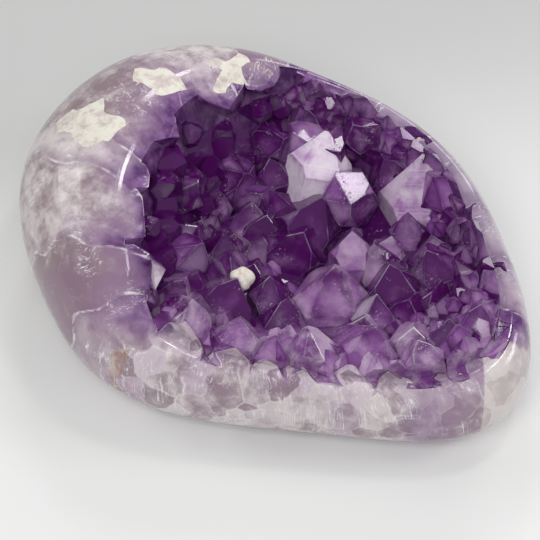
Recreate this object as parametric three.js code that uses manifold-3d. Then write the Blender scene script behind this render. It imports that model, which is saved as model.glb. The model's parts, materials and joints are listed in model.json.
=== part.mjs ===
// A polished amethyst cluster: a rounded quartz stone with a flat sawn base, ground and polished all round,
// whose open hollow is lined with amethyst points. Millimetres, +Z up, the origin on the base under the
// middle of the stone. X runs along the long side and -Y is the low front.
import * as THREE from "three";
import { ConvexGeometry } from "three/addons/geometries/ConvexGeometry.js";
import { mergeVertices } from "three/addons/utils/BufferGeometryUtils.js";
import Module from "manifold-3d";

const wasm = await Module();
wasm.setup();

const { degToRad, mapLinear, clamp, lerp } = THREE.MathUtils;

// Stations round the stone, anticlockwise seen from above. outline is where the stone is widest, at the height
// waist, lip is the edge of the hollow, and crest is the height of the polished edge between the two.
const STATIONS = [
  { outline: [90, -3], lip: [80, -8], waist: 26, crest: 46 },
  { outline: [83, 20], lip: [72, 17], waist: 27, crest: 48 },
  { outline: [69, 45], lip: [59, 38], waist: 28, crest: 50 },
  { outline: [45, 64], lip: [38, 56], waist: 29, crest: 53 },
  { outline: [18, 74], lip: [14, 66], waist: 31, crest: 57 },
  { outline: [-9, 88], lip: [-7, 66], waist: 34, crest: 65 },
  { outline: [-39, 93], lip: [-25, 54], waist: 36, crest: 71 },
  { outline: [-70, 85], lip: [-39, 42], waist: 37, crest: 75 },
  { outline: [-94, 63], lip: [-47, 26], waist: 37, crest: 76 },
  { outline: [-108, 32], lip: [-56, 10], waist: 36, crest: 75 },
  { outline: [-105, 1], lip: [-59, -8], waist: 35, crest: 71 },
  { outline: [-93, -27], lip: [-59, -24], waist: 32, crest: 64 },
  { outline: [-78, -53], lip: [-56, -40], waist: 28, crest: 55 },
  { outline: [-51, -68], lip: [-42, -56], waist: 24, crest: 46 },
  { outline: [-14, -74], lip: [-13, -62], waist: 21, crest: 41 },
  { outline: [26, -77], lip: [22, -66], waist: 20, crest: 39 },
  { outline: [66, -83], lip: [57, -70], waist: 20, crest: 39 },
  { outline: [95, -68], lip: [81, -59], waist: 22, crest: 41 },
  { outline: [98, -34], lip: [87, -35], waist: 24, crest: 44 },
];
const BASE_SHARE = 0.74; // the sawn base's reach, as a share of the outline's
const CREST_SHARE = 0.8; // how far in from the outline to the lip the crest lies
const LIP_FALL = 0.06; // fall from crest to lip, as a share of the edge's width

// The polished edge is from narrow to wide. Points that cross it are ground level with it, and so are they for
// a way over the hollow. Past that they stand free, under a roof that none of them reaches.
const EDGE = { narrow: 12, wide: 46 };
const GROUND = { atNarrow: 2, atWide: 14, slope: 0.15 };
const ROOF = { height: 100, drawnIn: 8 };

const FLOOR = { height: 18, alongX: 0.07, alongY: -0.07, steepness: 3 }; // the hollow's floor and wall
const GAP = { wide: 0.35, spread: 0.995 }; // between the stone and the crust, and round the calcite
const SHEET = { thickness: 4, flare: 1.012, fade: 6 }; // the crust under its points, thinning to the lip

// Quartz habit: the angle of a pyramid face's normal over the prism's, and how unevenly the faces grow, as
// shares of the point's width.
const FACE_RISE = degToRad(38.2);
const UNEVEN = { prism: [-0.1, 0.1], major: [-0.05, 0.05], minor: [0.02, 0.15] };

// The points that give the cluster its look: tip in millimetres, width across the prism, the direction in
// plan and the angle from upright that the point leans, and the turn about its own axis, in degrees.
const LARGE = [
  { tip: [23, 36, 53], across: 24, towards: 60, lean: 22, turn: 30 },
  { tip: [28, 28, 48], across: 31, towards: 300, lean: 46, turn: 116 },
  { tip: [33, 3, 48], across: 21, towards: 270, lean: 45, turn: 90 },
  { tip: [61, 22, 54], across: 35, towards: 100, lean: 16, turn: 24 },
  { tip: [24, -26, 47], across: 28, towards: 80, lean: 10, turn: 32 },
  { tip: [42, -35, 42], across: 22, towards: 60, lean: 20, turn: 26 },
  { tip: [53, -37, 41], across: 19, towards: 250, lean: 4, turn: 0 },
  { tip: [67, -49, 45], across: 31, towards: 80, lean: 20, turn: 34 },
  { tip: [82, -33, 45], across: 22, towards: 100, lean: 58, turn: 41 },
  { tip: [33, -7, 44], across: 18, towards: 100, lean: 16, turn: 32 },
  { tip: [48, -8, 42], across: 16, towards: 60, lean: 14, turn: 20 },
  { tip: [64, -8, 44], across: 20, towards: 120, lean: 20, turn: 36 },
  { tip: [20, 10, 44], across: 26, towards: 30, lean: 18, turn: 25 },
  { tip: [13, -5, 39], across: 24, towards: 300, lean: 12, turn: 0 },
  { tip: [-8, 12, 38], across: 19, towards: 60, lean: 14, turn: 30 },
  { tip: [0, 32, 42], across: 15, towards: 110, lean: 8, turn: 50 },
  { tip: [13, 52, 54], across: 34, towards: 220, lean: 20, turn: 15 },
  { tip: [-20, 40, 38], across: 19, towards: 300, lean: 30, turn: 35 },
  { tip: [-36, 26, 37], across: 19, towards: 320, lean: 34, turn: 20 },
  { tip: [-22, 20, 42], across: 24, towards: 30, lean: 22, turn: 40 },
  { tip: [-27, 3, 37], across: 22, towards: 350, lean: 20, turn: 20 },
  { tip: [-13, -29, 44], across: 36, towards: 30, lean: 30, turn: 20 },
  { tip: [0, -26, 39], across: 17, towards: 90, lean: 10, turn: 30 },
  { tip: [-14, -50, 38], across: 17, towards: 90, lean: 12, turn: 30 },
  { tip: [8, -47, 40], across: 22, towards: 80, lean: 16, turn: 15 },
  { tip: [-43, -19, 44], across: 19, towards: 0, lean: 36, turn: 25 },
  { tip: [-37, -43, 43], across: 18, towards: 45, lean: 24, turn: 5 },
  { tip: [50, 42, 47], across: 18, towards: 220, lean: 18, turn: 10 },
  { tip: [83, -1, 43], across: 15, towards: 160, lean: 18, turn: 35 },
  { tip: [54, 3, 43], across: 18, towards: 140, lean: 16, turn: 12 },
  { tip: [66, -28, 42], across: 18, towards: 30, lean: 12, turn: 50 },
  { tip: [75, -64, 42], across: 20, towards: 100, lean: 24, turn: 8 },
  { tip: [28, -58, 39], across: 17, towards: 90, lean: 18, turn: 40 },
];
const LARGE_ROOT = 9; // how far under the floor a large point starts

// The smaller points between them, in rings that spread from the middle of the hollow to its wall. Each
// stands square to the wall but for a wander, and is left out where it would hide in a large point, and on the
// broad side where it would fill the recess under the teeth.
const SMALL = {
  rings: [0.12, 0.3, 0.46, 0.61, 0.75, 0.88],
  spacing: 16.5,
  shift: 0.7,
  sway: 0.06,
  across: [15, 24],
  tall: [13, 20],
  wander: { lean: 20, weight: 0.6 },
  root: 8,
  hidden: 0.7,
  recess: 0.8,
};

// The points of the stone's wall, which reach over the lip. On the broad side, between these places round the
// stone, they are placed one by one, like the large points. The rest follow the lip, and lie flatter where the
// polished edge is wide.
const BROAD = [0.235, 0.66];
const TEETH = [
  { tip: [-8, 48, 66], across: 20, towards: 262, lean: 72, turn: 20 },
  { tip: [-18, 34, 70], across: 28, towards: 288, lean: 76, turn: 5 },
  { tip: [-34, 19, 71], across: 30, towards: 335, lean: 78, turn: 30 },
  { tip: [-46, -5, 70], across: 14, towards: 325, lean: 76, turn: 10 },
  { tip: [-43, -24, 68], across: 30, towards: 335, lean: 78, turn: 25 },
  { tip: [-38, -38, 63], across: 22, towards: 355, lean: 76, turn: 0 },
  { tip: [-40, -50, 57], across: 22, towards: 25, lean: 72, turn: 35 },
  { tip: [-38, -62, 50], across: 16, towards: 50, lean: 66, turn: 15 },
];
const WALL = {
  count: 24,
  shift: 0.5,
  across: [18, 28],
  reach: [5, 15],
  sunk: [2, 6],
  root: 26,
  rise: { atWide: 22, atNarrow: 62 },
  sway: 0.25,
};

// The white calcite grown on the points near the front: knobs as [x, y, z, radius] from its middle.
const CALCITE = {
  at: [-11, -27, 38],
  knobs: [
    [0, 0, 0, 3.8],
    [2.6, 0.8, 1.6, 2.8],
    [-2.2, 1.4, 1.6, 2.6],
    [0.4, 2.6, 2.2, 2.6],
    [-2.8, -1.6, -2.6, 2.5],
  ],
};

const DETAIL = { round: 54, hollowRound: 30, undercut: 3, shoulder: 6, lip: 2, hollow: 4, knob: [9, 5] };
const MEASURED = 720; // places at which the outline's middle is measured
const WALK = 36; // places at which a ring's length is measured
const ASIDE = { place: 0.005, share: 0.03 }; // steps that give the wall's slope
const CLOSE = { parallel: 1e-3, inside: 1e-5, same: 1e-3 }; // tolerances where a point's faces meet
const SEED = { large: 1, ring: 100, teeth: 900, wall: 1000 }; // the first seed of each kind of point

const COLOURS = { stone: 0xc9bcc6, crust: 0x5b2f86, calcite: 0xe9e6dc };
const ROUGHNESS = { stone: 0.15, crust: 0.1, calcite: 0.6 };

// Numbers from 0 to 1 that look random and are the same for the same seed.
function dice(seed) {
  let turn = 0;
  return () => {
    turn += 1;
    const wave = Math.sin(seed * 127.1 + turn * 311.7) * 43758.5453;
    return wave - Math.floor(wave);
  };
}
const between = ([low, high], share) => lerp(low, high, share);
const isBroad = (place) => place > BROAD[0] && place < BROAD[1];

// The uniform cubic B-spline through the stations' values, at a place round the stone from 0 to 1.
function blend(place, read) {
  const count = STATIONS.length;
  const whole = Math.floor(place * count);
  const t = place * count - whole;
  const weights = [(1 - t) ** 3, 3 * t ** 3 - 6 * t ** 2 + 4, -3 * t ** 3 + 3 * t ** 2 + 3 * t + 1, t ** 3];
  return weights.reduce((sum, w, k) => sum + (w / 6) * read(STATIONS[(whole + k - 1 + count) % count]), 0);
}

const ring = (count, pointAt) => Array.from({ length: count }, (_, k) => pointAt(k / count));

// The plan of the outline or of the lip at a place round the stone.
const planAt = (place, key) =>
  new THREE.Vector2(blend(place, (s) => s[key][0]), blend(place, (s) => s[key][1]));

// The middle of the outline, which is moved to the origin.
const MIDDLE = new THREE.Box2()
  .setFromPoints(ring(MEASURED, (place) => planAt(place, "outline")))
  .getCenter(new THREE.Vector2());

// The stone's measurements at a place round it.
function station(place) {
  const outline = planAt(place, "outline").sub(MIDDLE);
  const lip = planAt(place, "lip").sub(MIDDLE);
  const width = outline.distanceTo(lip);
  const waist = blend(place, (s) => s.waist);
  const crest = blend(place, (s) => s.crest);
  return { outline, lip, width, waist, crest, lipHeight: crest - LIP_FALL * width };
}

// A value that goes from one to another as the polished edge goes from narrow to wide.
function byWidth(width, atNarrow, atWide) {
  return mapLinear(clamp(width, EDGE.narrow, EDGE.wide), EDGE.narrow, EDGE.wide, atNarrow, atWide);
}

const floorAt = (x, y) => FLOOR.height + FLOOR.alongX * x + FLOOR.alongY * y;

// A point of the hollow's floor and wall: share runs from 0 in the middle to 1 at the lip, and the height goes
// from the floor's to the lip's with share to the power of the steepness. raised lifts it, less and less
// towards the lip, and spread draws it in or out in plan.
function hollowPoint(place, share, raised = 0, spread = 1) {
  const { lip, lipHeight } = station(place);
  const plan = lip.multiplyScalar(share * spread);
  const floor = floorAt(plan.x, plan.y);
  const lift = raised * (1 - share ** SHEET.fade);
  return new THREE.Vector3(plan.x, plan.y, floor + lift + (lipHeight - floor) * share ** FLOOR.steepness);
}

// The manifold solid of a three.js geometry.
function solid(geometry) {
  const bare = geometry.clone();
  bare.deleteAttribute("normal");
  bare.deleteAttribute("uv");
  const merged = mergeVertices(bare);
  return new wasm.Manifold(
    new wasm.Mesh({
      numProp: 3,
      vertProperties: merged.attributes.position.array,
      triVerts: new Uint32Array(merged.index.array),
    }),
  );
}

// The solid between rings of points, one over the other, closed to one point below and one above.
function ringSolid(bottom, rings, top) {
  const round = rings[0].length;
  const points = [bottom, ...rings.flat(), top];
  const at = (level, k) => 1 + level * round + (k % round);
  const faces = [];
  for (let k = 0; k < round; k++) {
    faces.push(0, at(0, k + 1), at(0, k));
    for (let level = 0; level + 1 < rings.length; level++) {
      faces.push(at(level, k), at(level, k + 1), at(level + 1, k + 1));
      faces.push(at(level, k), at(level + 1, k + 1), at(level + 1, k));
    }
    faces.push(points.length - 1, at(rings.length - 1, k), at(rings.length - 1, k + 1));
  }
  const geometry = new THREE.BufferGeometry().setFromPoints(points);
  geometry.setIndex(faces);
  return solid(geometry);
}

// The stone as ground and polished, before its hollow: sawn base, undercut side, rounded shoulder up to the
// crest, the lip, the ground level over the hollow, and the roof.
function polishedForm() {
  const rings = [];
  const addRing = (planOf, heightOf) =>
    rings.push(
      ring(DETAIL.round, (place) => {
        const s = station(place);
        const height = heightOf(s);
        const plan = planOf(s);
        return new THREE.Vector3(plan.x, plan.y, height);
      }),
    );
  for (let k = 0; k <= DETAIL.undercut; k++) {
    const turn = ((Math.PI / 2) * k) / DETAIL.undercut;
    const reach = lerp(BASE_SHARE, 1, Math.sin(turn));
    addRing((s) => s.outline.multiplyScalar(reach), (s) => s.waist * (1 - Math.cos(turn)));
  }
  for (let k = 1; k <= DETAIL.shoulder; k++) {
    const turn = ((Math.PI / 2) * k) / DETAIL.shoulder;
    const inward = CREST_SHARE * (1 - Math.cos(turn));
    addRing((s) => s.outline.lerp(s.lip, inward), (s) => lerp(s.waist, s.crest, Math.sin(turn)));
  }
  for (let k = 1; k <= DETAIL.lip; k++) {
    const share = k / DETAIL.lip;
    const inward = lerp(CREST_SHARE, 1, share);
    addRing((s) => s.outline.lerp(s.lip, inward), (s) => lerp(s.crest, s.lipHeight, share ** 2));
  }
  const ground = (s) => byWidth(s.width, GROUND.atNarrow, GROUND.atWide);
  const drawnIn = (s, way) => s.lip.setLength(s.lip.length() - way);
  addRing((s) => drawnIn(s, ground(s)), (s) => s.lipHeight - GROUND.slope * ground(s));
  addRing((s) => drawnIn(s, ground(s) + ROOF.drawnIn), () => ROOF.height);
  return ringSolid(new THREE.Vector3(), rings, new THREE.Vector3(0, 0, ROOF.height));
}

// The space of the hollow up to the roof, raised off the floor and drawn in or spread out from the wall.
function hollowSpace(raised, spread) {
  const height = ROOF.height + raised;
  const rings = [];
  for (let k = 1; k <= DETAIL.hollow; k++) {
    rings.push(ring(DETAIL.hollowRound, (place) => hollowPoint(place, k / DETAIL.hollow, raised, spread)));
  }
  rings.push(rings.at(-1).map((p) => p.clone().setZ(height)));
  const bottom = new THREE.Vector3(0, 0, floorAt(0, 0) + raised);
  return ringSolid(bottom, rings, new THREE.Vector3(0, 0, height));
}

// One quartz point as the space inside its faces: six prism faces, three large and three small pyramid faces
// that meet over them, and the cut root. grown moves every face out, and the seed makes it uneven its own way.
function quartzPoint({ tip, across, axis, turn, root, seed }, grown = 0) {
  const roll = dice(-seed);
  const planes = [new THREE.Plane(new THREE.Vector3(0, 0, -1), -root)];
  for (let k = 0; k < 6; k++) {
    const around = (k * Math.PI) / 3;
    const side = new THREE.Vector3(Math.cos(around), Math.sin(around), 0);
    const slope = side.clone().multiplyScalar(Math.cos(FACE_RISE)).setZ(Math.sin(FACE_RISE));
    const half = (across / 2) * (1 + between(UNEVEN.prism, roll()));
    const lag = across * between(k % 2 ? UNEVEN.minor : UNEVEN.major, roll());
    planes.push(new THREE.Plane(side, -half - grown), new THREE.Plane(slope, -lag - grown));
  }

  const corners = [];
  const meet = new THREE.Matrix3();
  for (let a = 0; a < planes.length; a++) {
    for (let b = a + 1; b < planes.length; b++) {
      for (let c = b + 1; c < planes.length; c++) {
        const [p, q, r] = [planes[a], planes[b], planes[c]];
        meet.set(...p.normal.toArray(), ...q.normal.toArray(), ...r.normal.toArray());
        if (Math.abs(meet.determinant()) < CLOSE.parallel) continue;
        const corner = new THREE.Vector3(-p.constant, -q.constant, -r.constant).applyMatrix3(meet.invert());
        if (planes.some((plane) => plane.distanceToPoint(corner) > CLOSE.inside)) continue;
        if (corners.every((known) => known.distanceTo(corner) > CLOSE.same)) corners.push(corner);
      }
    }
  }
  const up = new THREE.Vector3(0, 0, 1);
  const stand = new THREE.Quaternion()
    .setFromUnitVectors(up, axis)
    .multiply(new THREE.Quaternion().setFromAxisAngle(up, turn));
  return solid(new ConvexGeometry(corners.map((p) => p.applyQuaternion(stand).add(tip))));
}

// The unit direction that leans from upright towards a direction in plan.
function leaning(towards, lean) {
  const [out, upward] = [Math.sin(lean), Math.cos(lean)];
  return new THREE.Vector3(out * Math.cos(towards), out * Math.sin(towards), upward);
}

function largePoints() {
  return LARGE.map(({ tip, across, towards, lean, turn }, k) => {
    const at = new THREE.Vector3(...tip);
    const axis = leaning(degToRad(towards), degToRad(lean));
    const root = (at.z - floorAt(at.x, at.y)) / axis.z + LARGE_ROOT;
    return { tip: at, across, axis, turn: degToRad(turn), root, seed: SEED.large + k };
  });
}

function smallPoints(large) {
  const points = [];
  SMALL.rings.forEach((share, level) => {
    const walk = ring(WALK, (place) => hollowPoint(place, share));
    const way = walk.reduce((sum, p, k) => sum + p.distanceTo(walk[(k + 1) % walk.length]), 0);
    const count = Math.round(way / SMALL.spacing);
    for (let k = 0; k < count; k++) {
      const seed = SEED.ring * (1 + level) + k;
      const roll = dice(seed);
      const place = ((k + SMALL.shift * roll()) / count + share) % 1;
      if (share > SMALL.recess && isBroad(place)) continue;
      const near = share + between([-SMALL.sway, SMALL.sway], roll());
      const foot = hollowPoint(place, near);
      const along = hollowPoint(place + ASIDE.place, near).sub(foot);
      const square = along.cross(hollowPoint(place, near - ASIDE.share).sub(foot)).normalize();
      const wander = leaning(2 * Math.PI * roll(), degToRad(SMALL.wander.lean));
      const axis = square.addScaledVector(wander, SMALL.wander.weight).normalize();
      const across = between(SMALL.across, roll());
      const tall = between(SMALL.tall, roll());
      const tip = foot.addScaledVector(axis, tall);
      const hidden = large.some((p) => {
        const off = tip.clone().sub(p.tip);
        return off.addScaledVector(p.axis, -off.dot(p.axis)).length() < (SMALL.hidden * p.across) / 2;
      });
      if (!hidden) points.push({ tip, across, axis, turn: Math.PI * roll(), root: tall + SMALL.root, seed });
    }
  });
  return points;
}

function wallPoints() {
  const points = TEETH.map(({ tip, across, towards, lean, turn }, k) => {
    const axis = leaning(degToRad(towards), degToRad(lean));
    const seed = SEED.teeth + k;
    return { tip: new THREE.Vector3(...tip), across, axis, turn: degToRad(turn), root: WALL.root, seed };
  });
  for (let k = 0; k < WALL.count; k++) {
    const seed = SEED.wall + k;
    const roll = dice(seed);
    const place = (k + WALL.shift * roll()) / WALL.count;
    if (isBroad(place)) continue;
    const { lip, lipHeight, width } = station(place);
    const rise = degToRad(byWidth(width, WALL.rise.atNarrow, WALL.rise.atWide));
    const inward = Math.atan2(-lip.y, -lip.x) + between([-WALL.sway, WALL.sway], roll());
    const axis = leaning(inward, Math.PI / 2 - rise);
    const foot = new THREE.Vector3(lip.x, lip.y, lipHeight - between(WALL.sunk, roll()));
    const tip = foot.addScaledVector(axis, between(WALL.reach, roll()));
    const across = between(WALL.across, roll());
    points.push({ tip, axis, across, turn: Math.PI * roll(), root: WALL.root, seed });
  }
  return points;
}

// The knobs of the calcite, each a small ball.
function calciteForm(grown = 0) {
  return joined(
    CALCITE.knobs.map(([x, y, z, radius]) => {
      const ball = new THREE.SphereGeometry(radius + grown, ...DETAIL.knob);
      return solid(ball.translate(CALCITE.at[0] + x, CALCITE.at[1] + y, CALCITE.at[2] + z));
    }),
  );
}

function joined(solids) {
  return solids.reduce((sum, next) => sum.add(next));
}

// The body of a solid that is left when the chips its cuts make are dropped.
function body(made) {
  return made.decompose().reduce((a, b) => (a.volume() > b.volume() ? a : b));
}

function mesh(name, made, color, roughness) {
  const { vertProperties, triVerts } = made.getMesh();
  const geometry = new THREE.BufferGeometry();
  geometry.setAttribute("position", new THREE.BufferAttribute(vertProperties, 3));
  geometry.setIndex(new THREE.BufferAttribute(triVerts, 1));
  const faceted = geometry.toNonIndexed();
  faceted.computeVertexNormals();
  const piece = new THREE.Mesh(faceted, new THREE.MeshStandardMaterial({ color, roughness, metalness: 0 }));
  piece.name = name;
  return piece;
}

const form = polishedForm();
const wall = wallPoints();
const large = largePoints();
const small = smallPoints(large);

// The stone is its polished form less what its wall points leave of the hollow.
const stone = body(form.subtract(hollowSpace(0, 1).subtract(joined(wall.map((p) => quartzPoint(p))))));

// The crust fills the hollow, a gap off the stone, but for the open space over its sheet and its points.
const over = hollowSpace(SHEET.thickness, SHEET.flare)
  .subtract(joined([...large, ...small].map((p) => quartzPoint(p))));
const crust = body(
  hollowSpace(GAP.wide, GAP.spread)
    .intersect(form)
    .subtract(joined(wall.map((p) => quartzPoint(p, GAP.wide))))
    .subtract(calciteForm(GAP.wide))
    .subtract(over),
);

const cluster = new THREE.Group();
cluster.add(mesh("polished_stone", stone, COLOURS.stone, ROUGHNESS.stone));
cluster.add(mesh("amethyst_crust", crust, COLOURS.crust, ROUGHNESS.crust));
cluster.add(mesh("calcite_knob", calciteForm(), COLOURS.calcite, ROUGHNESS.calcite));

export default cluster;
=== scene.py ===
import itertools
import json
import math

import bpy
import numpy as np
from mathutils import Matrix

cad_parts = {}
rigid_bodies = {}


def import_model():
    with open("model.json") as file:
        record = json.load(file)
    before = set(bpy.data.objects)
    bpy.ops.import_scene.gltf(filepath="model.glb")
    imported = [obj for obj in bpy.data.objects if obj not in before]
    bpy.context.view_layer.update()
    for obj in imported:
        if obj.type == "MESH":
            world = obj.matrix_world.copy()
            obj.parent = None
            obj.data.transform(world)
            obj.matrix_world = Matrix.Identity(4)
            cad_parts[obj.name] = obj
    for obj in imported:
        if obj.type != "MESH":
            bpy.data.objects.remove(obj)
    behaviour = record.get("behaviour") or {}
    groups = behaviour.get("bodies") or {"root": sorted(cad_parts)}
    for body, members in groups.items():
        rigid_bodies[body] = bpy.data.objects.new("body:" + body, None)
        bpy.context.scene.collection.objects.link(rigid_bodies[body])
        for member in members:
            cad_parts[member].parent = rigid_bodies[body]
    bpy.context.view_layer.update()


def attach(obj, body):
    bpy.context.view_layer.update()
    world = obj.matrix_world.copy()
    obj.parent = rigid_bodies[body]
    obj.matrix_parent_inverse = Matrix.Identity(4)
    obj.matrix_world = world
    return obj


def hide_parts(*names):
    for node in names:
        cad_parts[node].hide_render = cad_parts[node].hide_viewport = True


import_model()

MM = 0.001
CLOSE = 1e-6  # millimetres within which a corner lies on a plane

# Stations round the stone, anticlockwise seen from above: outline x and y, lip x and y, waist and crest.
STATIONS = np.array([
    [90, -3, 80, -8, 26, 46],
    [83, 20, 72, 17, 27, 48],
    [69, 45, 59, 38, 28, 50],
    [45, 64, 38, 56, 29, 53],
    [18, 74, 14, 66, 31, 57],
    [-9, 88, -7, 66, 34, 65],
    [-39, 93, -25, 54, 36, 71],
    [-70, 85, -39, 42, 37, 75],
    [-94, 63, -47, 26, 37, 76],
    [-108, 32, -56, 10, 36, 75],
    [-105, 1, -59, -8, 35, 71],
    [-93, -27, -59, -24, 32, 64],
    [-78, -53, -56, -40, 28, 55],
    [-51, -68, -42, -56, 24, 46],
    [-14, -74, -13, -62, 21, 41],
    [26, -77, 22, -66, 20, 39],
    [66, -83, 57, -70, 20, 39],
    [95, -68, 81, -59, 22, 41],
    [98, -34, 87, -35, 24, 44],
], float)
BASE_SHARE = 0.74
CREST_SHARE = 0.8
LIP_FALL = 0.06
NARROW, WIDE = 12, 46
GROUND_NARROW, GROUND_WIDE, GROUND_SLOPE = 2, 14, 0.15
ROOF_HEIGHT, ROOF_DRAWN_IN = 100, 8
FLOOR_HEIGHT, FLOOR_SLOPE = 18, 0.07
GAP, GAP_SPREAD = 0.35, 0.995
SHEET_THICKNESS, SHEET_FLARE, SHEET_FADE = 4, 1.012, 6

# Quartz habit, as shares of a point's width: how unevenly the prism and the pyramid faces grow.
FACE_RISE = math.radians(38.2)
PRISM_UNEVEN, MAJOR_UNEVEN, MINOR_UNEVEN = (-0.1, 0.1), (-0.05, 0.05), (0.02, 0.15)

# The large points: tip x, y, z, width, direction and angle of the lean, turn, then how deep the purple is
# and how cloudy the point is, both about 0 to 1.
LARGE = [
    (23, 36, 53, 24, 60, 22, 30, 0.0, 1.05),
    (28, 28, 48, 31, 300, 46, 116, 0.5, 0.4),
    (33, 3, 48, 21, 270, 45, 90, 0.5, 0.4),
    (61, 22, 54, 35, 100, 16, 24, 0.2, 0.84),
    (24, -26, 47, 28, 80, 10, 32, 0.55, 0.5),
    (42, -35, 42, 22, 60, 20, 26, 0.75, 0.15),
    (53, -37, 41, 19, 250, 4, 0, 0.85, 0.1),
    (67, -49, 45, 31, 80, 20, 34, 1.0, -0.1),
    (82, -33, 45, 22, 100, 58, 41, 0.4, 0.6),
    (33, -7, 44, 18, 100, 16, 32, 0.3, 0.5),
    (48, -8, 42, 16, 60, 14, 20, 0.45, 0.5),
    (64, -8, 44, 20, 120, 20, 36, 0.6, 0.3),
    (20, 10, 44, 26, 30, 18, 25, 0.8, 0.15),
    (13, -5, 39, 24, 300, 12, 0, 0.9, 0.1),
    (-8, 12, 38, 19, 60, 14, 30, 0.8, 0.2),
    (0, 32, 42, 15, 110, 8, 50, 0.9, 0.1),
    (13, 52, 54, 34, 220, 20, 15, 0.9, 0.1),
    (-20, 40, 38, 19, 300, 30, 35, 0.9, 0.2),
    (-36, 26, 37, 19, 320, 34, 20, 0.8, 0.25),
    (-22, 20, 42, 24, 30, 22, 40, 0.75, 0.2),
    (-27, 3, 37, 22, 350, 20, 20, 0.6, 0.4),
    (-13, -29, 44, 36, 30, 30, 20, 0.8, 0.15),
    (0, -26, 39, 17, 90, 10, 30, 0.9, 0.1),
    (-14, -50, 38, 17, 90, 12, 30, 0.35, 0.6),
    (8, -47, 40, 22, 80, 16, 15, 0.3, 0.65),
    (-43, -19, 44, 19, 0, 36, 25, 0.6, 0.3),
    (-37, -43, 43, 18, 45, 24, 5, 0.8, 0.15),
    (50, 42, 47, 18, 220, 18, 10, 0.8, 0.2),
    (83, -1, 43, 15, 160, 18, 35, 0.5, 0.4),
    (54, 3, 43, 18, 140, 16, 12, 0.6, 0.35),
    (66, -28, 42, 18, 30, 12, 50, 0.7, 0.3),
    (75, -64, 42, 20, 100, 24, 8, 0.6, 0.3),
    (28, -58, 39, 17, 90, 18, 40, 0.35, 0.65),
]
LARGE_ROOT = 9
CLOUDY = 0.85  # points cloudier than this let hardly any light through
CLEAR_SHARE, CLOUDY_SHARE = 0.3, 0.04  # of the light that goes into clear and into cloudy points
FRONT_FROM, FRONT_OVER, FRONT_PALER, FRONT_CLOUDIER = -30, 25, 0.5, 0.3

SMALL_RINGS = [0.12, 0.3, 0.46, 0.61, 0.75, 0.88]
SMALL_SPACING, SMALL_SHIFT, SMALL_SWAY = 16.5, 0.7, 0.06
SMALL_ACROSS, SMALL_TALL, SMALL_ROOT, SMALL_HIDDEN, SMALL_RECESS = (15, 24), (13, 20), 8, 0.7, 0.8
SMALL_DEPTH, SMALL_CLOUD = (0.5, 1), (0.05, 0.5)
WANDER_LEAN, WANDER_WEIGHT = 20, 0.6

# The points of the stone's wall, which reach over the lip: those of the broad side are listed, as
# tip x, y, z, width, direction and angle of the lean, and turn, and the rest follow the narrow edge.
TEETH = [
    (-8, 48, 66, 20, 262, 72, 20),
    (-18, 34, 70, 28, 288, 76, 5),
    (-34, 19, 71, 30, 335, 78, 30),
    (-46, -5, 70, 14, 325, 76, 10),
    (-43, -24, 68, 30, 335, 78, 25),
    (-38, -38, 63, 22, 355, 76, 0),
    (-40, -50, 57, 22, 25, 72, 35),
    (-38, -62, 50, 16, 50, 66, 15),
]
BROAD_FROM, BROAD_TO = 0.235, 0.66
WALL_COUNT, WALL_SHIFT, WALL_ROOT, WALL_SWAY = 24, 0.5, 26, 0.25
WALL_ACROSS, WALL_REACH, WALL_SUNK = (18, 28), (5, 15), (2, 6)
WALL_RISE_WIDE, WALL_RISE_NARROW = 22, 62
WALL_DEPTH, WALL_CLOUD = (0.35, 0.8), (0.3, 0.7)
STONE_DEPTH, STONE_CLOUD = 0.7, 0.3  # of the broad side's points and of cut faces

# The fine points that only the dressed stone has: between the others on the hollow's wall, and along the
# lip. Each is sunk so far that its foot is buried.
DRUSE_COUNT, DRUSE_ACROSS, DRUSE_TALL, DRUSE_LIFT = 150, (5, 9), (3, 8), 4
DRUSE_DEPTH, DRUSE_CLOUD = (0.3, 1), (0.1, 0.6)
# Points in the recess under the broad side: where it starts, their width, and a deeper purple and less cloud
# than any others, which is painted shade.
RECESS_FROM, RECESS_ACROSS, RECESS_SHADE_DEPTH, RECESS_SHADE_CLOUD = 0.6, (8, 15), 1.3, -0.1
BORDER_COUNT, BORDER_ACROSS, BORDER_TALL, BORDER_LIFT = 150, (7, 13), (4, 9), 3
BORDER_SHARE, BORDER_DEPTH, BORDER_CLOUD = (0.8, 1), (0.4, 1), (0.1, 0.5)
FINE_ROOT = 6
FRINGE_COUNT, FRINGE_ACROSS, FRINGE_REACH, FRINGE_ROOT = 84, (8, 15), (0, 8), 14
FRINGE_TILT, FRINGE_SWAY, FRINGE_PAST, FRINGE_SUNK = (-12, 12), (-0.5, 0.5), (-2, 4), (-2, 8)
FRINGE_DEPTH, FRINGE_CLOUD = (0.2, 0.7), (0.4, 0.9)
WIDENED = 4  # how far the hollow reaches past the lip where the polished edge is narrow
WALL_WORN, CRUST_WORN = 0.4, 0.5  # width of the worn edges

# The calcite: knobs as x, y, z and radius from its middle.
CALCITE_AT = np.array([-11, -27, 38])
CALCITE_KNOBS = np.array([
    [0, 0, 0, 3.8],
    [2.6, 0.8, 1.6, 2.8],
    [-2.2, 1.4, 1.6, 2.6],
    [0.4, 2.6, 2.2, 2.6],
    [-2.8, -1.6, -2.6, 2.5],
])
CALCITE_ROUND, CALCITE_RISE, CALCITE_BLEND = 72, 37, 9

ROUND, HOLLOW_ROUND, HOLLOW_RISE = 400, 160, 16
GRAIN_HEIGHT = 0.4  # how much of the way from the lip the grain keeps
SECTION_START, SECTION_NONE = -8, 9  # a section starts this far before the tip; none is as far as this
STEP_ROUND, STEP_DOWN = 0.005, 0.03  # small steps along the hollow's wall, to find its slope
RING_STEPS = 36


def dice(seed):
    """Numbers from 0 to 1 that look random and are the same for the same seed: what is left of a large sine
    after its whole part."""
    turn = 0
    while True:
        turn += 1
        yield (math.sin(seed * 127.1 + turn * 311.7) * 43758.5453) % 1


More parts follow.
